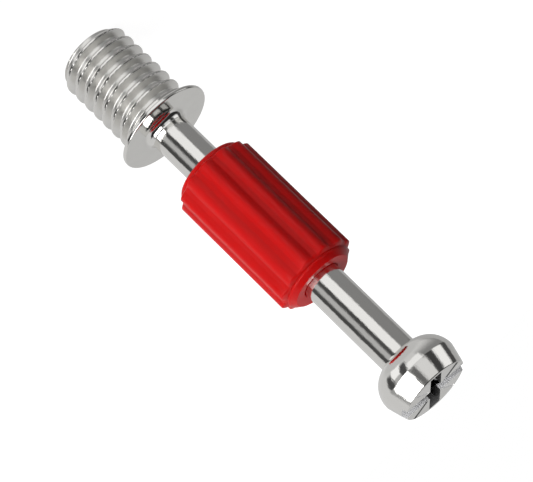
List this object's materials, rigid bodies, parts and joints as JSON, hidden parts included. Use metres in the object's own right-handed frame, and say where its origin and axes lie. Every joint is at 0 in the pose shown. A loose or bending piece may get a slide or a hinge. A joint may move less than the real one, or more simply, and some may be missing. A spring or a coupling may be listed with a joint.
{
  "type": "cam dowel",
  "caption": "Cam dowel with a screw thread, round flange, smooth shank carrying a ribbed plastic sleeve, and a tapered head with a drive recess that a furniture cam grips.",
  "frame": {"origin": "centre of the flat end of the threaded stud, which the part stands on", "axes": "+Z from the threaded end to the head, along the axis of the bolt; +X along the wide slot of the head"},
  "size_m": [0.0078, 0.0078, 0.0369],
  "materials": {
    "bright_plated_steel": "bright zinc or nickel plated steel, polished",
    "red_plastic": "moulded red plastic, semi-gloss"
  },
  "bodies": {
    "root": {"cam_bolt": "bright_plated_steel", "ribbed_sleeve": "red_plastic"}
  },
  "joints": []
}
